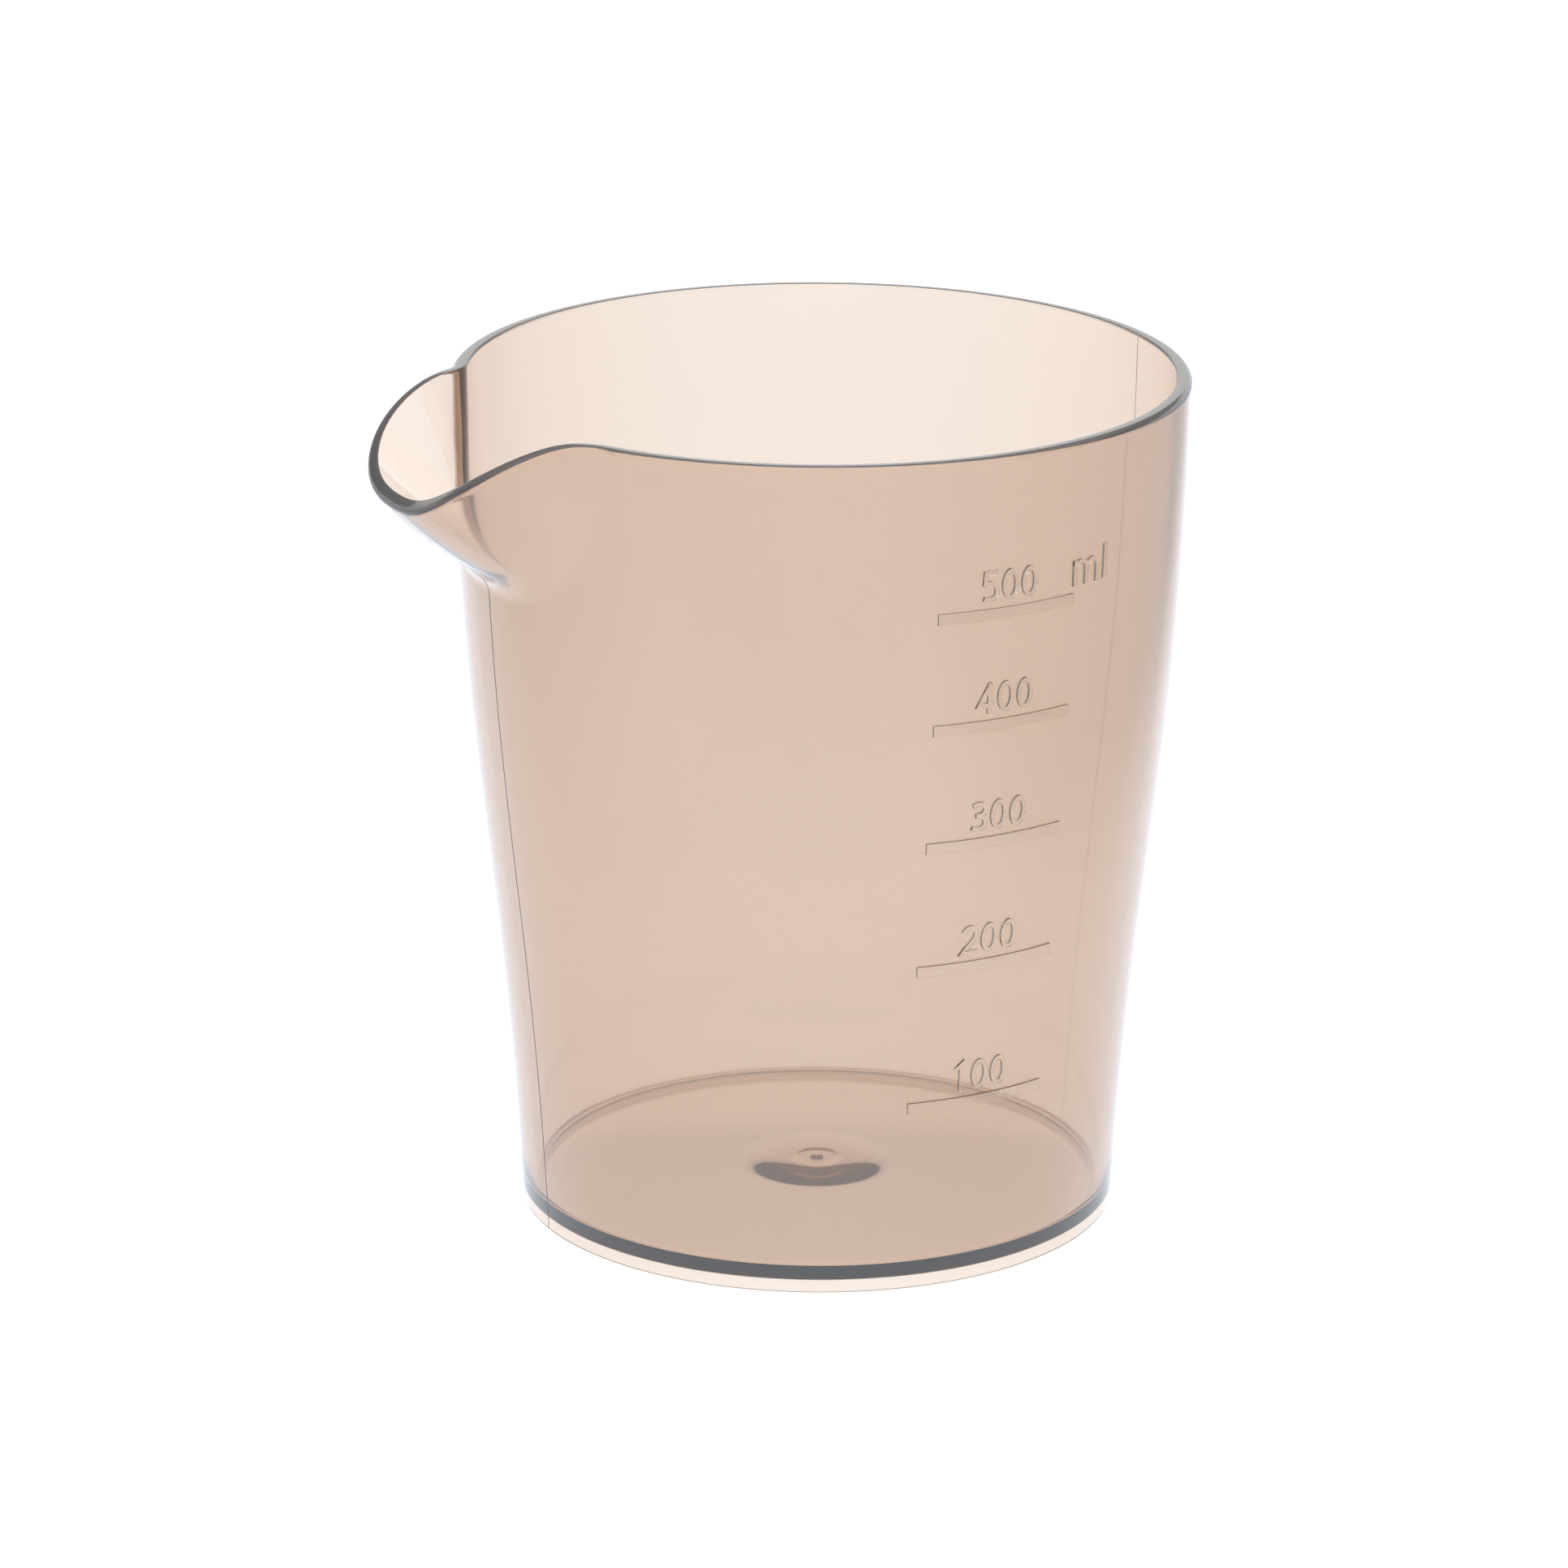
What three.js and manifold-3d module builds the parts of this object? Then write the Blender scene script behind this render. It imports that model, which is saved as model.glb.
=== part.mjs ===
// Measuring beaker, 500 ml: one thin-walled plastic moulding with a drooping pouring spout and a
// raised millilitre scale.
//
// Units are millimetres. +Z is up and the beaker stands on Z = 0. The spout points along -X and the
// scale is on the front, -Y. The origin is the middle of the bounding box's base, so the axis that
// the cup is round about stands a little way along +X, at cupAxisX.
//
// The vessel is one piece. The scale's bars, numerals and letters are moulded with it; each is a mesh
// of its own here, so that the scale can be coloured, or left off, apart from the vessel.

import * as THREE from 'three';
import { mergeVertices } from 'three/addons/utils/BufferGeometryUtils.js';
import Module from 'manifold-3d';

const wasm = await Module();
wasm.setup();

// ---- driving dimensions ------------------------------------------------------------------------

// Vessel
const height = 114;
const rimRadius = 48.5;
const baseRadius = 39.8;
const wallThickness = 2;
const lipInnerChamfer = 0.15;
const lipOuterRounding = 0.8;
const footFlare = 2.5;
const footFlareHeight = 50;
const rimFlare = 0.8;
const rimFlareDepth = 53.5;

// Foot and floor
const footHeight = 1.75;
const footChamfer = 0.15;
const floorThickness = 1.85;
const floorFillet = 0.5;
const floorCrown = 1.15;

// Middle of the floor: a shallow boss underneath, clear of the table, and the gate's recess and pip
// on top
const bossRadius = 10.7;
const bossDepth = 1.2;
const bossFullness = 1.3;
const gateRecessRadius = 3.1;
const gateRecessDepth = 0.35;
const gateRecessFullness = 5;
const gatePipRadius = 0.9;
const gatePipHeight = 0.5;

// Spout
const spoutReach = 13.5;
const spoutDroop = 10.8;
const spoutHalfAngle = 29.1;
const spoutFullness = 1.83;
const droopHalfAngle = 26;
const droopFullness = 1.29;
const spoutRootHeight = 91.5;
const spoutRootRise = 13.6;
const spoutRootBlend = 0.15;
const spoutBelly = 0.25;

// Scale
const scaleAzimuth = -86.5;
const graduations = [
  { volume: 100, lineHeight: 26.0 },
  { volume: 200, lineHeight: 45.3 },
  { volume: 300, lineHeight: 62.5 },
  { volume: 400, lineHeight: 78.6 },
  { volume: 500, lineHeight: 93.55 },
];
const barLength = 20;
const barHeight = 1.5;
const numeralHeight = 4.15;
const numeralWidth = 2.4;
const numeralPitch = 2.85;
const numeralOffset = -0.12;
const numeralGap = 0.9;
const strokeWidth = 0.6;
const reliefHeight = 0.35;
const reliefClearance = 0.05;
const unitOffset = 10.1;
const letterXHeight = 3.4;
const letterAscender = 4.65;
const letterArchPitch = 2;
const letterSpacing = 1.5;

// Mesh density
const azimuthSteps = 80;
const azimuthCrowding = 0.6;
const lowerWallSteps = 6;
const upperWallSteps = 8;
const floorRadii = [0, 0.6, 0.9, 2.3, 2.8, 3.1, 10, 17, 24, 31];
const undersideRadii = [31, 24, 17, 10.7, 9, 7.5, 6, 4, 2, 0];
const lipOuterTurns = [60, 30, 0];
const barSteps = 12;
const ringSteps = 10;
const strokeSteps = 7;

// Accuracy
const curveHalvings = 40;
const mergeDistance = 1e-4;
const frameReach = 0.01;

// ---- derived places ----------------------------------------------------------------------------

const degrees = Math.PI / 180;
const floorTop = footHeight + floorThickness;
const cupAxisX = spoutReach / 2;
const plainWallTop = spoutRootHeight - 4;

// ---- material ----------------------------------------------------------------------------------

function smokyPlastic() {
  return new THREE.MeshStandardMaterial({
    color: 0xc9ab97,
    roughness: 0.15,
    metalness: 0,
    transparent: true,
    opacity: 0.6,
  });
}

// ---- the wall's outer surface --------------------------------------------------------------------

// The wall's outline, from the foot to the rim: it leans out most half way up, and is nearly upright
// at both ends.
const wallCurve = new THREE.CubicBezierCurve(
  new THREE.Vector2(baseRadius, 0),
  new THREE.Vector2(baseRadius + footFlare, footFlareHeight),
  new THREE.Vector2(rimRadius - rimFlare, height - rimFlareDepth),
  new THREE.Vector2(rimRadius, height),
);

// Radius of the plain round wall at a height, found by halving the curve's parameter.
function wallRadius(z) {
  let low = 0;
  let high = 1;
  for (let step = 0; step < curveHalvings; step += 1) {
    const middle = (low + high) / 2;
    if (wallCurve.getPoint(middle).y < z) {
      low = middle;
    } else {
      high = middle;
    }
  }
  return wallCurve.getPoint(low).x;
}

// A smooth bump: 1 where the offset is 0, and 0 from halfWidth outwards. Above 1, fullness broadens
// its top.
function bump(offset, halfWidth, fullness) {
  const across = Math.min(Math.abs(offset) / halfWidth, 1);
  return Math.cos((Math.PI / 2) * across ** fullness) ** 2;
}

// A ramp that is 0 below 0 and rises with slope 1 above it, its corner rounded over +-blend.
function softRamp(value, blend) {
  if (value <= -blend) {
    return 0;
  }
  return value >= blend ? value : (value + blend) ** 2 / (4 * blend);
}

// Height of the lip at an angle from the spout's middle plane, in degrees.
function lipHeight(angle) {
  return height - spoutDroop * bump(angle, droopHalfAngle, droopFullness);
}

// How far the spout stands out of the round wall: from nothing below its root, which is lowest in the
// middle plane, to its whole reach at the lip. Its underside is a little bellied.
function spoutBulge(angle, z) {
  const across = Math.min(Math.abs(angle) / spoutHalfAngle, 1);
  const root = spoutRootHeight + spoutRootRise * across ** 3;
  const climb = softRamp((z - root) / (lipHeight(angle) - root), spoutRootBlend);
  const profile = climb * (1 + spoutBelly * (1 - climb));
  return spoutReach * bump(angle, spoutHalfAngle, spoutFullness) * profile;
}

// A point on the wall's outer surface. Angle is in degrees from the spout's middle plane, and along
// runs from 0 at the foot through 1 just below the spout to 2 at the lip.
function outerPoint(angle, along) {
  const z = along < 1
    ? along * plainWallTop
    : plainWallTop + (along - 1) * (lipHeight(angle) - plainWallTop);
  const radius = wallRadius(z) + spoutBulge(angle, z);
  const azimuth = (180 + angle) * degrees;
  return new THREE.Vector3(radius * Math.cos(azimuth), radius * Math.sin(azimuth), z);
}

// The surface's directions there: up along the wall, and outwards.
function wallFrame(angle, along) {
  const above = Math.min(along + frameReach, 2);
  const up = outerPoint(angle, above).sub(outerPoint(angle, above - frameReach)).normalize();
  const sideways = outerPoint(angle + frameReach, along);
  sideways.sub(outerPoint(angle - frameReach, along));
  const outwards = sideways.cross(up).normalize();
  return { up, outwards };
}

// A point inside the wall: depth is measured from the outer surface, and drop down from the lip.
function wallPoint(angle, along, depth, drop = 0) {
  const { up, outwards } = wallFrame(angle, along);
  return outerPoint(angle, along).addScaledVector(outwards, -depth).addScaledVector(up, -drop);
}

// ---- the vessel's outline at one angle ------------------------------------------------------------

function onAxisPlane(angle, radius, z) {
  const azimuth = (180 + angle) * degrees;
  return new THREE.Vector3(radius * Math.cos(azimuth), radius * Math.sin(azimuth), z);
}

// Rise of the slightly domed floor above its edge, at a radius.
function crown(radius) {
  return floorCrown * (1 - Math.min(radius / (baseRadius - wallThickness), 1) ** 2);
}

// Height of the floor's upper face at a radius.
function floorFace(radius) {
  const recess = gateRecessDepth * bump(radius, gateRecessRadius, gateRecessFullness);
  const pip = gatePipHeight * bump(radius, gatePipRadius, gateRecessFullness);
  return floorTop + crown(radius) - recess + pip;
}

// Height of the floor's lower face at a radius.
function floorUnderside(radius) {
  return footHeight + crown(radius) - bossDepth * bump(radius, bossRadius, bossFullness);
}

// From the axis across the floor, up the inside, over the lip, down the outside, round the foot and
// back across the underside to the axis.
function vesselOutline(angle) {
  const outline = [];
  const innerFloorRadius = wallRadius(floorTop) - wallThickness;

  for (const radius of floorRadii) {
    outline.push(onAxisPlane(angle, radius, floorFace(radius)));
  }
  const filletStart = innerFloorRadius - floorFillet;
  for (const turn of [0, 45, 90]) {
    const radius = filletStart + floorFillet * Math.sin(turn * degrees);
    const z = floorFace(filletStart) + floorFillet * (1 - Math.cos(turn * degrees));
    outline.push(onAxisPlane(angle, radius, z));
  }

  for (let step = 1; step <= lowerWallSteps; step += 1) {
    outline.push(wallPoint(angle, step / lowerWallSteps, wallThickness));
  }
  for (let step = 1; step < upperWallSteps; step += 1) {
    outline.push(wallPoint(angle, 1 + step / upperWallSteps, wallThickness));
  }
  outline.push(wallPoint(angle, 2, wallThickness, lipInnerChamfer));
  outline.push(wallPoint(angle, 2, wallThickness - lipInnerChamfer));
  outline.push(wallPoint(angle, 2, lipOuterRounding));
  for (const turn of lipOuterTurns) {
    const depth = lipOuterRounding * (1 - Math.cos(turn * degrees));
    const drop = lipOuterRounding * (1 - Math.sin(turn * degrees));
    outline.push(wallPoint(angle, 2, depth, drop));
  }
  for (let step = upperWallSteps - 1; step >= 1; step -= 1) {
    outline.push(outerPoint(angle, 1 + step / upperWallSteps));
  }
  for (let step = lowerWallSteps; step >= 1; step -= 1) {
    outline.push(outerPoint(angle, step / lowerWallSteps));
  }

  outline.push(onAxisPlane(angle, wallRadius(footChamfer), footChamfer));
  outline.push(onAxisPlane(angle, baseRadius - footChamfer, 0));
  outline.push(onAxisPlane(angle, baseRadius - wallThickness, 0));
  outline.push(onAxisPlane(angle, baseRadius - wallThickness, footHeight));
  for (const radius of undersideRadii) {
    outline.push(onAxisPlane(angle, radius, floorUnderside(radius)));
  }
  return outline;
}

// Joins the outlines round the axis. Angles crowd together at the spout.
function vesselGeometry() {
  const rings = [];
  for (let step = 0; step < azimuthSteps; step += 1) {
    const turn = (step / azimuthSteps) * 2 * Math.PI - Math.PI;
    rings.push(vesselOutline((turn - azimuthCrowding * Math.sin(turn)) / degrees));
  }
  const positions = rings.flat().flatMap((point) => point.toArray());
  const points = rings[0].length;
  const triangles = [];
  for (let ring = 0; ring < azimuthSteps; ring += 1) {
    const here = ring * points;
    const next = ((ring + 1) % azimuthSteps) * points;
    for (let point = 0; point < points - 1; point += 1) {
      const onTopPole = point === 0;
      const onBottomPole = point === points - 2;
      if (!onTopPole) {
        triangles.push(here + point, here + point + 1, next + point);
      }
      if (!onBottomPole) {
        triangles.push(next + point, here + point + 1, next + point + 1);
      }
    }
  }
  const geometry = new THREE.BufferGeometry();
  geometry.setAttribute('position', new THREE.Float32BufferAttribute(positions, 3));
  geometry.setIndex(triangles);
  return mergeVertices(geometry, mergeDistance);
}

// ---- flat glyphs, drawn with strokes of one width --------------------------------------------------

// A stroke along a centre line, as a flat outline with square ends and mitred corners.
function strokeShape(line) {
  const left = [];
  const right = [];
  line.forEach((point, index) => {
    const before = line[Math.max(index - 1, 0)];
    const after = line[Math.min(index + 1, line.length - 1)];
    const into = point.clone().sub(index > 0 ? before : point);
    const outOf = (index < line.length - 1 ? after : point).clone().sub(point);
    const inward = (index > 0 ? into : outOf).clone().normalize();
    const onward = (index < line.length - 1 ? outOf : into).clone().normalize();
    const across = new THREE.Vector2(-inward.y - onward.y, inward.x + onward.x).normalize();
    const mitre = strokeWidth / 2 / across.dot(new THREE.Vector2(-inward.y, inward.x));
    left.push(point.clone().addScaledVector(across, mitre));
    right.push(point.clone().addScaledVector(across, -mitre));
  });
  return new THREE.Shape([...left, ...right.reverse()]);
}

function straight(...corners) {
  return strokeShape(corners.map(([x, y]) => new THREE.Vector2(x, y)));
}

// A stroke along Bezier arcs: the first point, then three points for each arc.
function curved(start, ...arcs) {
  const path = new THREE.Path().moveTo(...start);
  for (const arc of arcs) {
    path.bezierCurveTo(...arc);
  }
  return strokeShape(path.getPoints(strokeSteps));
}

function ringShape() {
  const ring = new THREE.Shape();
  const centre = numeralHeight / 2;
  ring.absellipse(0, centre, numeralWidth / 2, centre, 0, 2 * Math.PI);
  const hole = new THREE.Path();
  hole.absellipse(0, centre, numeralWidth / 2 - strokeWidth, centre - strokeWidth, 0, 2 * Math.PI);
  ring.holes.push(hole);
  return [ring];
}

const top = numeralHeight - strokeWidth / 2;
const bottom = strokeWidth / 2;
const side = numeralWidth / 2 - strokeWidth / 2;

const glyphs = {
  0: ringShape(),
  1: [straight([-0.7, top - 0.85], [0.2, top - 0.05], [0.2, 0])],
  2: [
    curved(
      [-side, top - 0.75],
      [-0.6, top + 0.25, side, top + 0.15, side, top - 0.95],
      [side, top - 1.9, -0.35, bottom + 0.9, -side - 0.05, bottom],
      [-0.3, bottom, 0.3, bottom, side + 0.3, bottom],
    ),
  ],
  3: [
    curved(
      [-side, top - 0.3],
      [0.1, top + 0.2, side - 0.05, top - 0.1, side - 0.05, top - 0.85],
      [side - 0.05, top - 1.45, 0.3, top - 1.65, -0.45, top - 1.65],
    ),
    curved(
      [-0.45, top - 1.65],
      [0.4, top - 1.65, side, top - 1.95, side, bottom + 0.95],
      [side, bottom - 0.05, -0.1, bottom - 0.15, -side - 0.05, bottom + 0.25],
    ),
  ],
  4: [
    straight([0.5, top], [-side - 0.05, bottom + 0.85], [side + 0.3, bottom + 0.85]),
    straight([0.5, numeralHeight], [0.5, 0]),
  ],
  5: [
    straight([side, top], [-side + 0.2, top], [-side + 0.1, top - 1.65]),
    curved(
      [-side + 0.05, top - 1.5],
      [-0.1, top - 1.25, side, top - 1.35, side, bottom + 1.05],
      [side, bottom, -0.1, bottom - 0.1, -side - 0.05, bottom + 0.2],
    ),
  ],
  l: [straight([0, 0], [0, letterAscender])],
  m: [
    straight([0, 0], [0, letterXHeight]),
    ...[0, letterArchPitch].map((x) => curved(
      [x, letterXHeight - 1.1],
      [x + 0.3, letterXHeight + 0.05, x + 2, letterXHeight + 0.15, x + 2, letterXHeight - 1.2],
      [x + 2, 1.5, x + 2, 0.8, x + 2, 0],
    )),
  ],
};

function toSolid(geometry) {
  const bare = geometry.clone();
  bare.deleteAttribute('normal');
  bare.deleteAttribute('uv');
  const merged = mergeVertices(bare.index ? bare.toNonIndexed() : bare, mergeDistance);
  return new wasm.Manifold(new wasm.Mesh({
    numProp: 3,
    vertProperties: new Float32Array(merged.attributes.position.array),
    triVerts: new Uint32Array(merged.index.array),
  }));
}

function toGeometry(solid) {
  const mesh = solid.getMesh();
  const geometry = new THREE.BufferGeometry();
  geometry.setAttribute('position', new THREE.BufferAttribute(mesh.vertProperties, 3));
  geometry.setIndex(new THREE.BufferAttribute(mesh.triVerts, 1));
  return geometry;
}

// A flat glyph as one solid, its strokes joined.
function glyphGeometry(name) {
  const strokes = glyphs[name].map((shape) => toSolid(new THREE.ExtrudeGeometry(shape, {
    depth: reliefHeight,
    bevelEnabled: false,
    curveSegments: ringSteps,
  })));
  return toGeometry(strokes.reduce((joined, stroke) => joined.add(stroke)));
}

// ---- relief on the wall ----------------------------------------------------------------------------

// Wraps a flat solid onto the wall. Its x becomes distance round the wall from the scale's middle,
// its y height, and its z depth out of the wall.
function wrapOntoWall(geometry, x, z) {
  const position = geometry.attributes.position;
  const middleRadius = wallRadius(z);
  for (let index = 0; index < position.count; index += 1) {
    const level = z + position.getY(index);
    const azimuth = scaleAzimuth * degrees + (x + position.getX(index)) / middleRadius;
    const radius = wallRadius(level) + reliefClearance + position.getZ(index);
    position.setXYZ(index, radius * Math.cos(azimuth), radius * Math.sin(azimuth), level);
  }
  geometry.deleteAttribute('normal');
  return geometry;
}

// ---- assembly --------------------------------------------------------------------------------------

const beaker = new THREE.Group();
beaker.position.x = cupAxisX;

function add(name, geometry) {
  geometry.computeVertexNormals();
  const mesh = new THREE.Mesh(geometry, smokyPlastic());
  mesh.name = name;
  beaker.add(mesh);
}

add('vessel', vesselGeometry());

for (const { volume, lineHeight } of graduations) {
  const bar = new THREE.BoxGeometry(barLength, barHeight, reliefHeight, barSteps, 1, 1);
  bar.translate(0, 0, reliefHeight / 2);
  add(`graduation_bar_${volume}`, wrapOntoWall(bar, 0, lineHeight));

  const baseline = lineHeight + barHeight / 2 + numeralGap;
  [...String(volume)].forEach((digit, place) => {
    const placeName = ['hundreds', 'tens', 'units'][place];
    const x = numeralOffset + (place - 1) * numeralPitch;
    add(`numeral_${volume}_${placeName}`, wrapOntoWall(glyphGeometry(digit), x, baseline));
  });
}

const unitBaseline = graduations.at(-1).lineHeight + barHeight / 2 + numeralGap;
add('letter_m', wrapOntoWall(glyphGeometry('m'), unitOffset, unitBaseline));
const letterLOffset = unitOffset + 2 * letterArchPitch + letterSpacing;
add('letter_l', wrapOntoWall(glyphGeometry('l'), letterLOffset, unitBaseline));

export default beaker;
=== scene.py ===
# Measuring beaker, 500 ml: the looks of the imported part, in metres and in the part's own frame.

import math

import bpy
import numpy as np
from mathutils import Matrix, Vector


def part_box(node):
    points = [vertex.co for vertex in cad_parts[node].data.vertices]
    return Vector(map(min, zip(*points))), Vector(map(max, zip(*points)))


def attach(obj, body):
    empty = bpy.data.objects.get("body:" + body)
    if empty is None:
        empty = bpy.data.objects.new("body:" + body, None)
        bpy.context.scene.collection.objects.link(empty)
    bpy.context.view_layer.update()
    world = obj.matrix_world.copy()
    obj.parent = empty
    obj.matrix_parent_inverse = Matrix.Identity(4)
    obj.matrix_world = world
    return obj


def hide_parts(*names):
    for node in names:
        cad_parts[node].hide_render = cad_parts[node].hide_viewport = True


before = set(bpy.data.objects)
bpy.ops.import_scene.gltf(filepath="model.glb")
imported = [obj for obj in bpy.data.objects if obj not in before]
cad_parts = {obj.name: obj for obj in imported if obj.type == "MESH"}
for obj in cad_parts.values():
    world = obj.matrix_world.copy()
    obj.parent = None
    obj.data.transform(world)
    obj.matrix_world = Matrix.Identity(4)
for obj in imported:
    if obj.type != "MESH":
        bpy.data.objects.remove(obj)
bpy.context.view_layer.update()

# ---- sizes, in metres ----------------------------------------------------------------------------

MM = 0.001

RIM_RADIUS = 48.5 * MM
BASE_RADIUS = 39.8 * MM
HEIGHT = 114 * MM
WALL = 2.0 * MM
LIP_INNER_ROUNDING = 0.15 * MM
LIP_OUTER_ROUNDING = 0.8 * MM

# The wall's outline from foot to rim is one cubic Bezier arc on these control points.
WALL_CONTROL_RADII = (BASE_RADIUS, BASE_RADIUS + 2.5 * MM, RIM_RADIUS - 0.8 * MM, RIM_RADIUS)
WALL_CONTROL_HEIGHTS = (0.0, 50 * MM, HEIGHT - 53.5 * MM, HEIGHT)
WALL_CURVE_SAMPLES = 2001

FOOT_HEIGHT = 1.75 * MM
FOOT_ROUNDING = 0.15 * MM
FOOT_INSIDE = BASE_RADIUS - WALL
FLOOR_THICKNESS = 1.85 * MM
FLOOR_FILLET = 0.5 * MM
FLOOR_CROWN = 1.15 * MM
FLOOR_TOP = FOOT_HEIGHT + FLOOR_THICKNESS

BOSS_RADIUS = 10.7 * MM
BOSS_DEPTH = 1.2 * MM
BOSS_FULLNESS = 1.3
GATE_RECESS_RADIUS = 3.1 * MM
GATE_RECESS_DEPTH = 0.35 * MM
GATE_RECESS_FULLNESS = 5.0
GATE_PIP_RADIUS = 0.9 * MM
GATE_PIP_HEIGHT = 0.5 * MM

# The spout's angles are in degrees to each side of its middle plane.
SPOUT_REACH = 13.5 * MM
SPOUT_HALF_ANGLE = 29.1
SPOUT_FULLNESS = 1.83
SPOUT_DROOP = 10.8 * MM
DROOP_HALF_ANGLE = 26.0
DROOP_FULLNESS = 1.29
SPOUT_ROOT_HEIGHT = 91.5 * MM
SPOUT_ROOT_RISE = 13.6 * MM
SPOUT_ROOT_BLEND = 0.15
SPOUT_BELLY = 0.25
PLAIN_WALL_TOP = SPOUT_ROOT_HEIGHT - 4 * MM

SEAM_HEIGHT = 0.05 * MM
SEAM_WIDTH = 0.09 * MM

RELIEF_SINK = 0.10 * MM
RELIEF_EDGE = 0.09 * MM
RELIEF_EDGE_ANGLE = 50
RELIEF_EDGE_SEGMENTS = 3

# ---- fineness of the vessel's mesh ---------------------------------------------------------------

RECESS_RINGS = 25
FLOOR_RINGS = 24
PLAIN_WALL_RINGS = 30
SPOUT_WALL_RINGS = 44
UNDERSIDE_RINGS = 20
BOSS_RINGS = 31

FILLET_SWEEP = 80
FILLET_STEPS = 6
LIP_INNER_STEPS = 4
LIP_OUTER_STEPS = 8
FOOT_STEPS = 5

# The wall's rings keep clear of the fillet and of the roundings at their ends by these factors.
FILLET_CLEARANCE = 1.6
LIP_INNER_CLEARANCE = 1.3
LIP_OUTER_CLEARANCE = 1.2
FOOT_CLEARANCE = 2

ANGLES_ROUND = 360
SPOUT_CROWDING = 0.55
SEAM_BAND = 0.3
SEAM_BAND_ANGLES = 13
SLOPE_STEP = 0.002

# ---- looks, light and camera ---------------------------------------------------------------------

PLASTIC_IOR = 1.57
PLASTIC_TINT = (0.59, 0.32, 0.07, 1)
PLASTIC_DENSITY = 350.0
FLOW_SCALE = 60.0
FLOW_DETAIL = 3.0
FLOW_STRENGTH = 0.05
FLOW_DEPTH = 0.2 * MM

STUDIO_WHITE = (1.36, 1.46, 1.58, 1)

# The studio is white at the horizon. Each belt above takes over between two heights of the line of
# sight, which is 0 at the horizon and 1 overhead.
SKY_BELTS = (
    ((1.5, 1.5, 1.47, 1), 0.18, 0.22),
    ((0.6, 0.6, 0.6, 1), 0.29, 0.34),
    ((1.45, 1.42, 1.4, 1), 0.50, 0.75),
)

# The table glows evenly round the beaker and fades to its right, left and front. Each fade gives
# the two places between which it runs, in metres from the cup's axis, and the glow at both. The
# side fades spread outwards by FADE_SPREAD for each metre towards the back.
TABLE_SIZE = 6.0
TABLE_BASE = (0.1, 0.1, 0.1, 1)
TABLE_ROUGHNESS = 0.8
TABLE_GLOW = 0.93
RIGHT_FADE = (0.10, 0.21, TABLE_GLOW, 0.58)
LEFT_FADE = (-0.30, -0.12, 0.72, TABLE_GLOW)
FRONT_FADE = (-0.28, -0.125, 0.62, TABLE_GLOW)
FADE_SPREAD = 0.107

# The lens looks down on the beaker from in front of the scale and a little from the spout's side.
CAMERA_DISTANCE = 0.958
CAMERA_ELEVATION = math.radians(17.91)
CAMERA_TURN = math.radians(-26.5)
CAMERA_PAN = math.radians(0.278)
CAMERA_ROLL = math.radians(0.317)
CAMERA_AIM = HEIGHT / 2 + 0.11 * MM
CAMERA_LENS = 165.2
CAMERA_SENSOR = 36.0
CAMERA_NEAR = 0.05
CAMERA_FAR = 20.0


# ---- the wall's outer surface --------------------------------------------------------------------

_, vessel_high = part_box("vessel")
AXIS_X = vessel_high.x - RIM_RADIUS


def wall_curve(t):
    """The wall's outline at t, which is 0 at the foot and 1 at the rim: (radius, height)."""
    weights = ((1 - t) ** 3, 3 * t * (1 - t) ** 2, 3 * t ** 2 * (1 - t), t ** 3)
    radius = sum(w * r for w, r in zip(weights, WALL_CONTROL_RADII))
    height = sum(w * h for w, h in zip(weights, WALL_CONTROL_HEIGHTS))
    return radius, height


curve_radii, curve_heights = wall_curve(np.linspace(0, 1, WALL_CURVE_SAMPLES))


def wall_radius(z):
    """The round wall's outer radius at a height."""
    return np.interp(z, curve_heights, curve_radii)


def bump(distance, half_width, fullness):
    """1 in the middle, falling smoothly to 0 at half_width and beyond."""
    across = np.minimum(np.abs(distance) / half_width, 1)
    return np.cos(np.pi / 2 * across ** fullness) ** 2


def soft_ramp(value, blend):
    """0 below 0, and the value itself above it, with the corner rounded over +-blend."""
    rounded = (np.clip(value, -blend, blend) + blend) ** 2 / (4 * blend)
    return np.where(value > blend, value, rounded)


def lip_height(angle):
    """Height of the lip, which droops at the spout."""
    return HEIGHT - SPOUT_DROOP * bump(angle, DROOP_HALF_ANGLE, DROOP_FULLNESS)


def spout_bulge(angle, z):
    """How far the spout stands out of the round wall."""
    across = np.minimum(np.abs(angle) / SPOUT_HALF_ANGLE, 1)
    root = SPOUT_ROOT_HEIGHT + SPOUT_ROOT_RISE * across ** 3
    climb = soft_ramp((z - root) / (lip_height(angle) - root), SPOUT_ROOT_BLEND)
    profile = climb * (1 + SPOUT_BELLY * (1 - climb))
    return SPOUT_REACH * bump(angle, SPOUT_HALF_ANGLE, SPOUT_FULLNESS) * profile


def turned(angle, radius, z):
    """Points at an angle, in degrees, from the spout's middle plane."""
    azimuth = np.radians(180 + angle)
    return np.stack(
        [AXIS_X + radius * np.cos(azimuth), radius * np.sin(azimuth), z + 0 * radius], axis=-1
    )


def outer_point(angle, along):
    """A point on the outer surface: along is 0 at the foot, 1 below the spout and 2 at the lip."""
    above = PLAIN_WALL_TOP + (along - 1) * (lip_height(angle) - PLAIN_WALL_TOP)
    z = np.where(along < 1, along * PLAIN_WALL_TOP, above)
    return turned(angle, wall_radius(z) + spout_bulge(angle, z), z)


def unit(vectors):
    """The vectors, each made 1 long."""
    return vectors / np.linalg.norm(vectors, axis=-1, keepdims=True)


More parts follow.
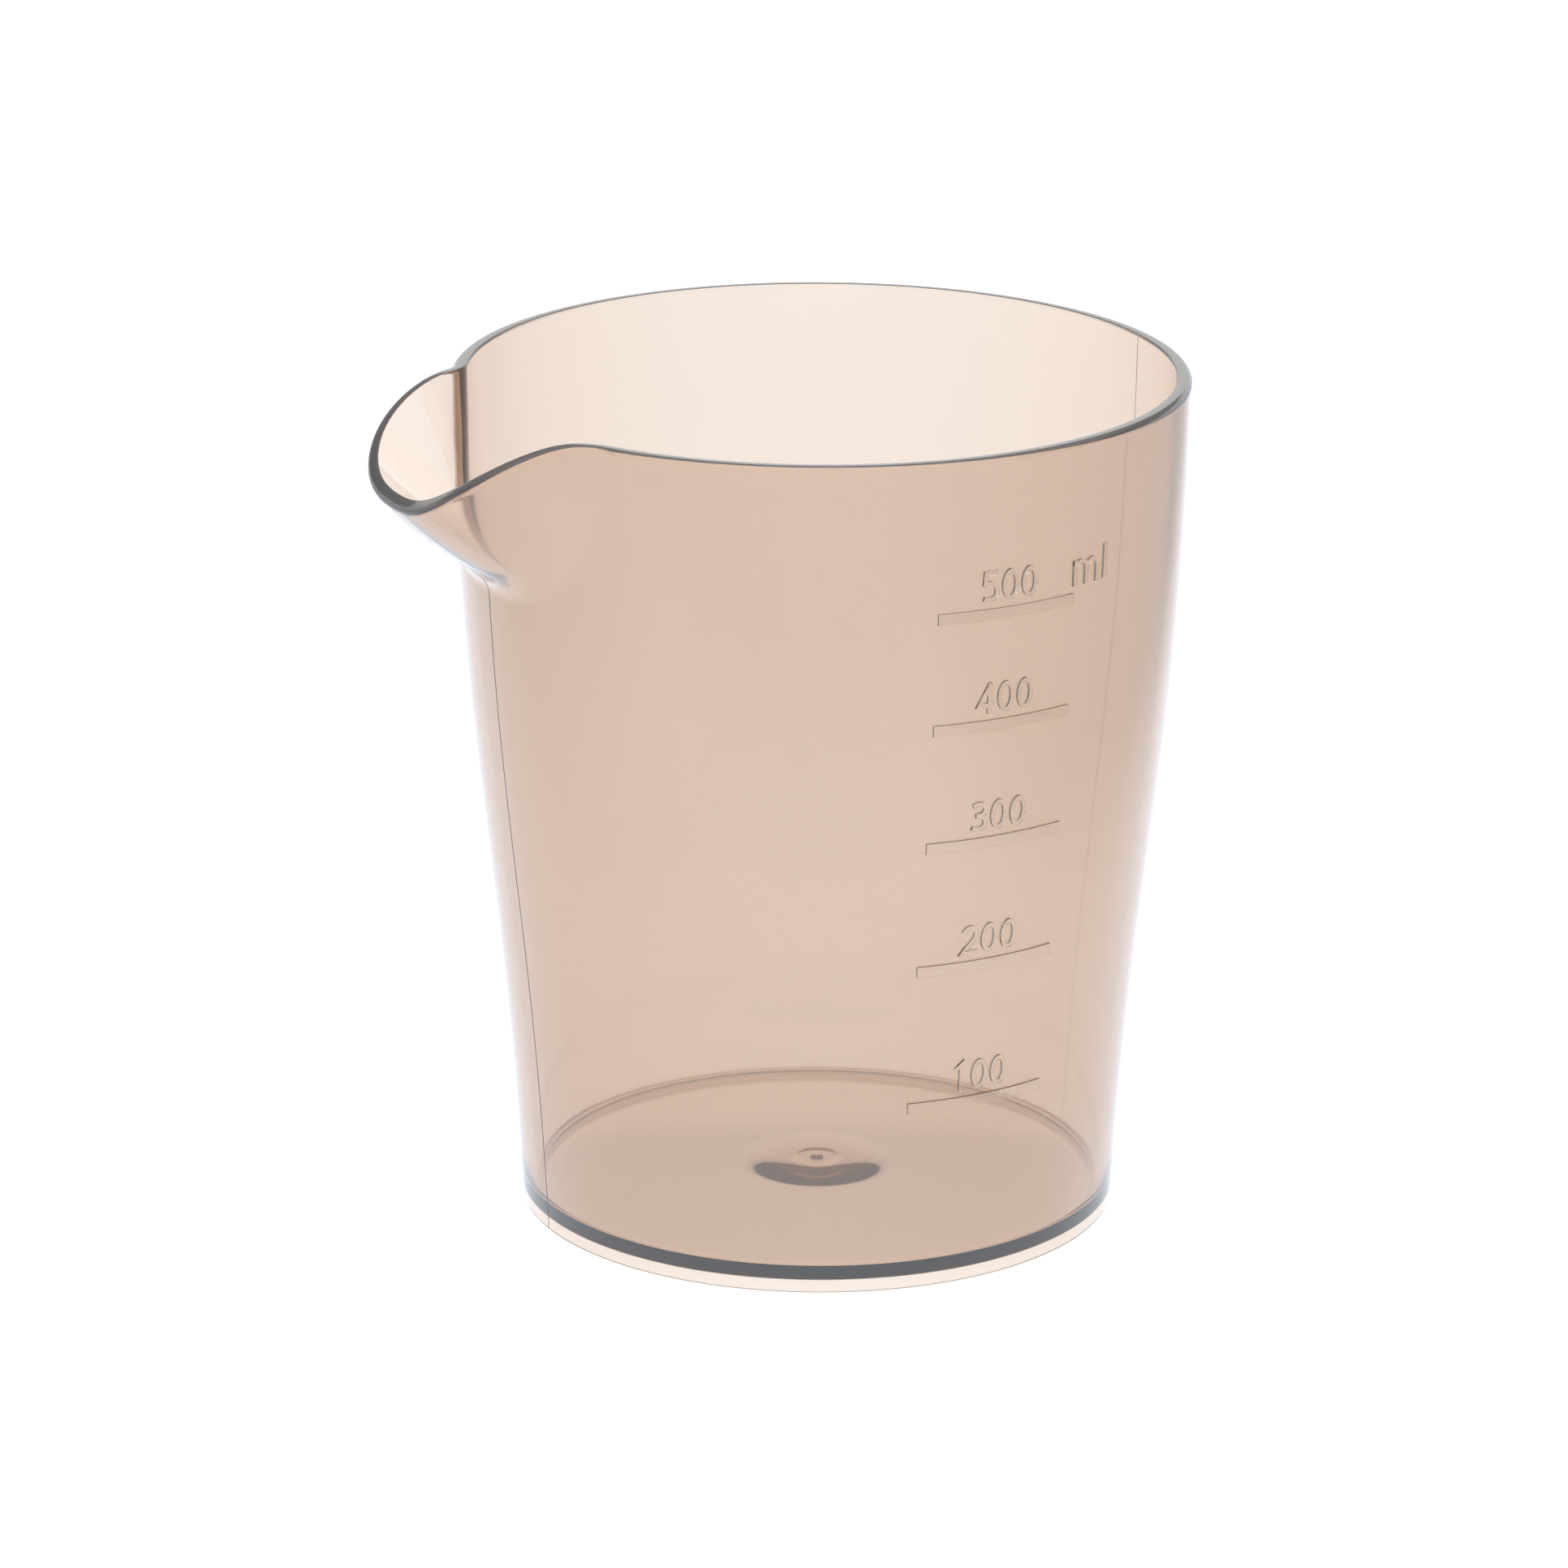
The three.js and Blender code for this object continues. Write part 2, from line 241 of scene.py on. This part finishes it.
def wall_point(angle, along, depth, drop=0.0):
    """A point in the wall, at a depth square to its outer surface and a drop below along."""
    up = unit(outer_point(angle, along) - outer_point(angle, along - SLOPE_STEP))
    sideways = outer_point(angle + SLOPE_STEP, along) - outer_point(angle - SLOPE_STEP, along)
    outwards = unit(np.cross(sideways, up))
    depths = np.broadcast_to(depth, np.shape(angle))[..., None]
    return outer_point(angle, along) - depths * outwards - drop * up


# ---- the vessel ----------------------------------------------------------------------------------

def crown(radius):
    """Rise of the slightly domed floor above its edge, at a radius."""
    return FLOOR_CROWN * (1 - min(radius / FOOT_INSIDE, 1) ** 2)


def floor_top(radius):
    """The floor's upper face, with the shallow recess and pip left by the gate in the middle."""
    recess = GATE_RECESS_DEPTH * bump(radius, GATE_RECESS_RADIUS, GATE_RECESS_FULLNESS)
    pip = GATE_PIP_HEIGHT * bump(radius, GATE_PIP_RADIUS, GATE_RECESS_FULLNESS)
    return FLOOR_TOP + crown(radius) - recess + pip


def floor_underside(radius):
    """The floor's lower face, with a shallow boss under its middle."""
    return FOOT_HEIGHT + crown(radius) - BOSS_DEPTH * bump(radius, BOSS_RADIUS, BOSS_FULLNESS)


def seam(angle):
    """Height of the mould's parting line over the outer surface, in the spout's middle plane."""
    off_plane = np.minimum(np.abs(angle), 180 - np.abs(angle))
    distance = np.radians(off_plane) * RIM_RADIUS
    return SEAM_HEIGHT * np.exp(-(distance / SEAM_WIDTH) ** 2)


def arc(start, stop, steps):
    """Angles of a rounding's rings, in radians, from degrees."""
    return np.radians(np.linspace(start, stop, steps + 1))


def level_ring(angle, radius, z):
    """A flat round ring about the cup's axis."""
    return turned(angle, radius + 0 * angle, z)


def floor_rings(angle):
    """From the axis over the floor's upper face to its fillet at the wall."""
    fillet_start = wall_radius(FLOOR_TOP) - WALL - FLOOR_FILLET
    radii = [
        *np.linspace(0, GATE_RECESS_RADIUS, RECESS_RINGS),
        *np.linspace(GATE_RECESS_RADIUS, fillet_start, FLOOR_RINGS)[1:],
    ]
    rings = [level_ring(angle, radius, floor_top(radius)) for radius in radii]
    for turn in arc(0, FILLET_SWEEP, FILLET_STEPS)[1:]:
        radius = fillet_start + FLOOR_FILLET * math.sin(turn)
        z = floor_top(fillet_start) + FLOOR_FILLET * (1 - math.cos(turn))
        rings.append(level_ring(angle, radius, z))
    return rings


def wall_rings(angle):
    """Up the inside of the wall, over the lip and down the outside to just above the foot."""
    spout_part = lip_height(angle) - PLAIN_WALL_TOP
    below_inner_edge = 1 - LIP_INNER_CLEARANCE * LIP_INNER_ROUNDING / spout_part
    below_outer_edge = 1 - LIP_OUTER_CLEARANCE * LIP_OUTER_ROUNDING / spout_part
    lip = 2 + 0 * angle

    rings = []
    above_fillet = (FLOOR_TOP + FILLET_CLEARANCE * FLOOR_FILLET) / PLAIN_WALL_TOP
    for along in np.linspace(above_fillet, 1, PLAIN_WALL_RINGS)[:-1]:
        rings.append(wall_point(angle, along + 0 * angle, WALL))
    for share in np.linspace(0, 1, SPOUT_WALL_RINGS):
        rings.append(wall_point(angle, 1 + share * below_inner_edge, WALL))
    for turn in arc(0, 90, LIP_INNER_STEPS):
        depth = WALL - LIP_INNER_ROUNDING * (1 - math.cos(turn))
        rings.append(wall_point(angle, lip, depth, LIP_INNER_ROUNDING * (1 - math.sin(turn))))
    for turn in arc(90, 0, LIP_OUTER_STEPS):
        depth = LIP_OUTER_ROUNDING * (1 - math.cos(turn))
        rings.append(wall_point(angle, lip, depth, LIP_OUTER_ROUNDING * (1 - math.sin(turn))))
    for share in np.linspace(1, 0, SPOUT_WALL_RINGS):
        rings.append(wall_point(angle, 1 + share * below_outer_edge, -seam(angle)))
    above_foot = FOOT_CLEARANCE * FOOT_ROUNDING / PLAIN_WALL_TOP
    for along in np.linspace(1, above_foot, PLAIN_WALL_RINGS)[1:]:
        rings.append(wall_point(angle, along + 0 * angle, -seam(angle)))
    return rings


def foot_rings(angle):
    """Round the foot ring and over the floor's lower face to the axis."""
    rings = []
    for turn in arc(0, 90, FOOT_STEPS):
        radius = BASE_RADIUS - FOOT_ROUNDING * (1 - math.cos(turn))
        rings.append(level_ring(angle, radius, FOOT_ROUNDING * (1 - math.sin(turn))))
    for turn in arc(90, 0, FOOT_STEPS):
        radius = FOOT_INSIDE + FOOT_ROUNDING * (1 - math.cos(turn))
        rings.append(level_ring(angle, radius, FOOT_ROUNDING * (1 - math.sin(turn))))
    for turn in arc(0, 90, FOOT_STEPS):
        radius = FOOT_INSIDE - FOOT_ROUNDING * (1 - math.cos(turn))
        z = FOOT_HEIGHT - FOOT_ROUNDING * (1 - math.sin(turn))
        rings.append(level_ring(angle, radius, z))
    radii = [
        *np.linspace(FOOT_INSIDE - FOOT_ROUNDING, BOSS_RADIUS, UNDERSIDE_RINGS)[1:],
        *np.linspace(BOSS_RADIUS, 0, BOSS_RINGS)[1:],
    ]
    rings += [level_ring(angle, radius, floor_underside(radius)) for radius in radii]
    return rings


def vessel_angles():
    """Angles round the axis, in degrees: closer together at the spout, and closest at the seam."""
    turn = np.linspace(-180, 180, ANGLES_ROUND + 1)[:-1]
    crowded = turn - SPOUT_CROWDING * np.degrees(np.sin(np.radians(turn)))
    fine = np.linspace(-SEAM_BAND, SEAM_BAND, SEAM_BAND_ANGLES)
    wrapped = (np.concatenate([crowded, fine, fine + 180]) + 180) % 360 - 180
    return np.unique(np.round(wrapped, 4))


def build_vessel():
    """One closed body, skinned over the rings, with a point on the axis at each end."""
    angles = vessel_angles()
    rings = np.array(floor_rings(angles) + wall_rings(angles) + foot_rings(angles))
    ring_count, angle_count, _ = rings.shape
    between_ends = rings[1:-1].reshape(-1, 3)
    vertices = np.vstack([rings[0, :1], between_ends, rings[-1, :1]])
    last = len(vertices) - 1
    faces = []
    for step in range(angle_count):
        onward = (step + 1) % angle_count
        faces.append((0, 1 + step, 1 + onward))
        for ring in range(ring_count - 3):
            here, above = 1 + ring * angle_count, 1 + (ring + 1) * angle_count
            faces.append((here + onward, here + step, above + step, above + onward))
        final = 1 + (ring_count - 3) * angle_count
        faces.append((final + onward, final + step, last))
    mesh = bpy.data.meshes.new("vessel_moulding")
    mesh.from_pydata(vertices.tolist(), [], faces)
    mesh.validate()
    mesh.polygons.foreach_set("use_smooth", [True] * len(mesh.polygons))
    piece = bpy.data.objects.new("vessel_moulding", mesh)
    bpy.context.collection.objects.link(piece)
    return piece


# ---- relief --------------------------------------------------------------------------------------

def build_relief(node):
    """A relief node's own solid, sunk into the wall, with its front edges rounded."""
    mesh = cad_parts[node].data.copy()
    mesh.name = node + "_relief"
    piece = bpy.data.objects.new(node + "_relief", mesh)
    bpy.context.collection.objects.link(piece)
    for vertex in mesh.vertices:
        out = Vector((vertex.co.x - AXIS_X, vertex.co.y, 0))
        vertex.co -= out.normalized() * RELIEF_SINK
    bevel = piece.modifiers.new("rounded_edges", "BEVEL")
    bevel.width = RELIEF_EDGE
    bevel.segments = RELIEF_EDGE_SEGMENTS
    bevel.limit_method = "ANGLE"
    bevel.angle_limit = math.radians(RELIEF_EDGE_ANGLE)
    return piece


# ---- materials -----------------------------------------------------------------------------------

def smoky_plastic(name, roughness, clarity):
    """Clear smoky plastic: tinted by its thickness, with faint flow marks and haze."""
    material = bpy.data.materials.new(name)
    material.use_nodes = True
    nodes, links = material.node_tree.nodes, material.node_tree.links
    nodes.clear()
    output = nodes.new("ShaderNodeOutputMaterial")
    surface = nodes.new("ShaderNodeBsdfPrincipled")
    surface.inputs["Base Color"].default_value = (1, 1, 1, 1)
    surface.inputs["Transmission Weight"].default_value = clarity
    surface.inputs["IOR"].default_value = PLASTIC_IOR
    surface.inputs["Roughness"].default_value = roughness
    links.new(surface.outputs["BSDF"], output.inputs["Surface"])

    volume = nodes.new("ShaderNodeVolumeAbsorption")
    volume.inputs["Color"].default_value = PLASTIC_TINT
    volume.inputs["Density"].default_value = PLASTIC_DENSITY
    links.new(volume.outputs["Volume"], output.inputs["Volume"])

    coordinates = nodes.new("ShaderNodeTexCoord")
    flow = nodes.new("ShaderNodeTexNoise")
    flow.inputs["Scale"].default_value = FLOW_SCALE
    flow.inputs["Detail"].default_value = FLOW_DETAIL
    links.new(coordinates.outputs["Object"], flow.inputs["Vector"])
    flow_marks = nodes.new("ShaderNodeBump")
    flow_marks.inputs["Strength"].default_value = FLOW_STRENGTH
    flow_marks.inputs["Distance"].default_value = FLOW_DEPTH
    links.new(flow.outputs["Fac"], flow_marks.inputs["Height"])
    links.new(flow_marks.outputs["Normal"], surface.inputs["Normal"])
    return material


def feed(links, value, socket):
    """Links a node's output to a socket, or sets the socket to a plain value."""
    if isinstance(value, bpy.types.NodeSocket):
        links.new(value, socket)
    else:
        socket.default_value = value


def fade(nodes, links, value, start, stop, low, high):
    """A Map Range node easing from low to high as value goes from start to stop."""
    ramp = nodes.new("ShaderNodeMapRange")
    ramp.interpolation_type = "SMOOTHSTEP"
    ramp.inputs["From Min"].default_value = start
    ramp.inputs["From Max"].default_value = stop
    ramp.inputs["To Min"].default_value = low
    ramp.inputs["To Max"].default_value = high
    links.new(value, ramp.inputs["Value"])
    return ramp.outputs["Result"]


def combine(nodes, links, operation, first, second):
    """A Math node on two values."""
    node = nodes.new("ShaderNodeMath")
    node.operation = operation
    feed(links, first, node.inputs[0])
    feed(links, second, node.inputs[1])
    return node.outputs["Value"]


def blend_colors(nodes, links, factor, first, second):
    """A Mix node between two colours, whose own colour sockets share their names with others."""
    node = nodes.new("ShaderNodeMix")
    node.data_type = "RGBA"
    links.new(factor, node.inputs["Factor"])
    color_inputs = [socket for socket in node.inputs if socket.type == "RGBA"]
    feed(links, first, color_inputs[0])
    feed(links, second, color_inputs[1])
    return next(socket for socket in node.outputs if socket.type == "RGBA")


def pale_floor_material():
    """A pale glowing table top whose light falls off softly to both sides and in front."""
    material = bpy.data.materials.new("pale_floor")
    material.use_nodes = True
    nodes, links = material.node_tree.nodes, material.node_tree.links
    surface = nodes["Principled BSDF"]
    surface.inputs["Base Color"].default_value = TABLE_BASE
    surface.inputs["Roughness"].default_value = TABLE_ROUGHNESS
    surface.inputs["Specular IOR Level"].default_value = 0.0
    surface.inputs["Emission Color"].default_value = STUDIO_WHITE
    coordinates = nodes.new("ShaderNodeTexCoord")
    split = nodes.new("ShaderNodeSeparateXYZ")
    links.new(coordinates.outputs["Object"], split.inputs["Vector"])
    spread = combine(nodes, links, "MULTIPLY", split.outputs["Y"], FADE_SPREAD)
    from_right = combine(nodes, links, "SUBTRACT", split.outputs["X"], spread)
    from_left = combine(nodes, links, "ADD", split.outputs["X"], spread)
    right = fade(nodes, links, from_right, *RIGHT_FADE)
    left = fade(nodes, links, from_left, *LEFT_FADE)
    front = fade(nodes, links, split.outputs["Y"], *FRONT_FADE)
    sides = combine(nodes, links, "MINIMUM", right, left)
    glow = combine(nodes, links, "MINIMUM", sides, front)
    links.new(glow, surface.inputs["Emission Strength"])
    return material


# ---- the beaker ----------------------------------------------------------------------------------

vessel_finish = smoky_plastic("smoky_plastic", roughness=0.03, clarity=0.95)
relief_finish = smoky_plastic("smoky_plastic_relief", roughness=0.04, clarity=1.0)

vessel = build_vessel()
vessel.data.materials.append(vessel_finish)
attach(vessel, "root")
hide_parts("vessel")

for node in sorted(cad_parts):
    if node == "vessel":
        continue
    relief = build_relief(node)
    relief.data.materials.clear()
    relief.data.materials.append(relief_finish)
    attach(relief, "root")
    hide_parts(node)


# ---- floor, light and camera ---------------------------------------------------------------------

bpy.ops.mesh.primitive_plane_add(size=TABLE_SIZE, location=(AXIS_X, 0, 0))
floor = bpy.context.object
floor.name = "pale_floor"
floor.rotation_euler.z = CAMERA_TURN
floor.data.materials.append(pale_floor_material())

scene = bpy.context.scene
world = bpy.data.worlds.new("soft_studio")
scene.world = world
world.use_nodes = True
nodes, links = world.node_tree.nodes, world.node_tree.links
coordinates = nodes.new("ShaderNodeTexCoord")
split = nodes.new("ShaderNodeSeparateXYZ")
links.new(coordinates.outputs["Generated"], split.inputs["Vector"])
sky = STUDIO_WHITE
for belt_color, start, stop in SKY_BELTS:
    share = fade(nodes, links, split.outputs["Z"], start, stop, 0.0, 1.0)
    sky = blend_colors(nodes, links, share, sky, belt_color)
links.new(sky, nodes["Background"].inputs["Color"])

scene.view_settings.view_transform = "Standard"
scene.view_settings.look = "None"

camera_data = bpy.data.cameras.new("camera")
camera_data.sensor_width = CAMERA_SENSOR
camera_data.lens = CAMERA_LENS
camera_data.clip_start = CAMERA_NEAR
camera_data.clip_end = CAMERA_FAR
camera = bpy.data.objects.new("camera", camera_data)
bpy.context.collection.objects.link(camera)
turn = Matrix.Rotation(CAMERA_TURN, 4, "Z")
tilt = Matrix.Rotation(math.pi / 2 - CAMERA_ELEVATION, 4, "X")
place = Matrix.Translation((AXIS_X, 0, CAMERA_AIM)) @ turn @ tilt
place = place @ Matrix.Translation((0, 0, CAMERA_DISTANCE))
place = place @ Matrix.Rotation(CAMERA_PAN, 4, "Y") @ Matrix.Rotation(CAMERA_ROLL, 4, "Z")
camera.matrix_world = place
scene.camera = camera
